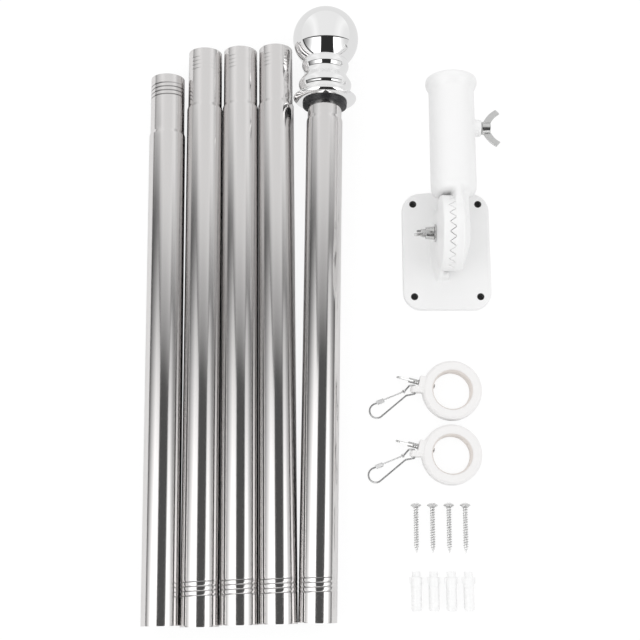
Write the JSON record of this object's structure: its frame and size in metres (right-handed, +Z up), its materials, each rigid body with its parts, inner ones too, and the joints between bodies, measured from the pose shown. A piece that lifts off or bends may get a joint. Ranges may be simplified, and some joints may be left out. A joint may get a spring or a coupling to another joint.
{
  "type": "sectional flagpole kit",
  "caption": "Polished steel flagpole in screw-together tubes with a ball finial, laid beside its adjustable wall bracket, snap-hook rings, screws and wall plugs.",
  "frame": {"origin": "on the floor, below the middle of the laid-out kit's bounding box", "axes": "+Z up, +Y along the tubes from their feet to the ball finial, +X from the tubes towards the bracket"},
  "size_m": [0.2436, 0.4274, 0.0587],
  "materials": {
    "polished_steel": "mirror polished stainless steel",
    "black_insert": "satin black moulding",
    "white_coating": "white powder coat, slight gloss",
    "zinc_plate": "bright zinc plate",
    "hook_wire": "zinc plated spring wire",
    "screw_steel": "zinc plated steel",
    "ring_plastic": "white moulded plastic",
    "plug_plastic": "white nylon"
  },
  "bodies": {
    "root": {"pole_section_1": "polished_steel", "pole_section_2": "polished_steel", "pole_section_3": "polished_steel", "pole_section_4": "polished_steel", "pole_section_5": "polished_steel", "finial_ball": "polished_steel", "finial_collar": "polished_steel", "finial_insert": "black_insert", "bracket_base": "white_coating", "clamp_bolt": "zinc_plate", "clamp_washer": "zinc_plate", "ring_1_body": "ring_plastic", "ring_1_thumbscrew": "zinc_plate", "ring_2_body": "ring_plastic", "ring_2_thumbscrew": "zinc_plate", "screw_1": "screw_steel", "screw_2": "screw_steel", "screw_3": "screw_steel", "screw_4": "screw_steel", "wall_plug_1": "plug_plastic", "wall_plug_2": "plug_plastic", "wall_plug_3": "plug_plastic", "wall_plug_4": "plug_plastic"},
    "socket": {"bracket_socket": "white_coating"},
    "wing_nut": {"clamp_wing_nut": "zinc_plate"},
    "wing_screw": {"socket_wing_screw": "zinc_plate"},
    "hook_1": {"hook_1_frame": "hook_wire"},
    "gate_1": {"hook_1_gate": "hook_wire"},
    "hook_2": {"hook_2_frame": "hook_wire"},
    "gate_2": {"hook_2_gate": "hook_wire"}
  },
  "joints": [
    {"name": "socket_tilt", "type": "hinge", "parent": "root", "child": "socket", "pos_m": [0.0865, 0.0432, 0.033], "axis": [1, 0, 0], "range_deg": [0, 180]},
    {"name": "wing_nut_turn", "type": "hinge", "parent": "root", "child": "wing_nut", "pos_m": [0.0865, 0.0432, 0.033], "axis": [-1, 0, 0], "continuous": true},
    {"name": "wing_screw_turn", "type": "hinge", "parent": "socket", "child": "wing_screw", "pos_m": [0.1093, 0.1187, 0.033], "axis": [1, 0, 0], "continuous": true},
    {"name": "hook_1_swing", "type": "hinge", "parent": "root", "child": "hook_1", "pos_m": [0.06265, -0.0594, 0.00686], "axis": [0, -1, 0], "range_deg": [-120, 0]},
    {"name": "gate_1_spring", "type": "hinge", "parent": "hook_1", "child": "gate_1", "pos_m": [0.0552, -0.0601, 0.00534], "axis": [-0.2, 0, 0.9798], "range_deg": [0, 15], "stiffness_Nm_per_rad": 0.02, "springref_deg": -11.46},
    {"name": "hook_2_swing", "type": "hinge", "parent": "root", "child": "hook_2", "pos_m": [0.06145, -0.1027, 0.00686], "axis": [0, -1, 0], "range_deg": [-120, 0]},
    {"name": "gate_2_spring", "type": "hinge", "parent": "hook_2", "child": "gate_2", "pos_m": [0.054, -0.1034, 0.00534], "axis": [-0.2, 0, 0.9798], "range_deg": [0, 15], "stiffness_Nm_per_rad": 0.02, "springref_deg": -11.46}
  ]
}
